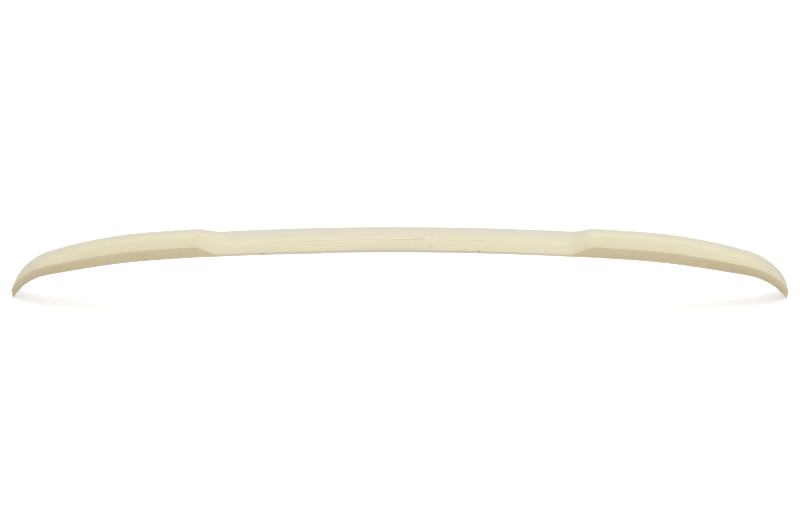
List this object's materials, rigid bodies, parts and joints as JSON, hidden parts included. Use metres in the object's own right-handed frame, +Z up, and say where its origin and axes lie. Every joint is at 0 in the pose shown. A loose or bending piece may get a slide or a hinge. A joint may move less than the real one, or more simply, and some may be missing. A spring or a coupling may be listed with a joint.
{
  "type": "roof spoiler",
  "caption": "Slim roof spoiler lip: one moulded shell arched across a car's roof edge, low in the middle, raised at both sides, with ends turned down.",
  "frame": {"origin": "on the bonding face, at the centreline, where the base turns down from the roof onto the rear window", "axes": "+X across the car to the right seen from behind, +Y towards the car's front, +Z up, square to the bonding face at the centreline"},
  "size_m": [1.1804, 0.1481, 0.1242],
  "materials": {
    "cream_plastic": "unpainted cream moulding, satin, with a faint parting line, mottling and mould stains"
  },
  "bodies": {
    "root": {"spoiler": "cream_plastic"}
  },
  "joints": []
}
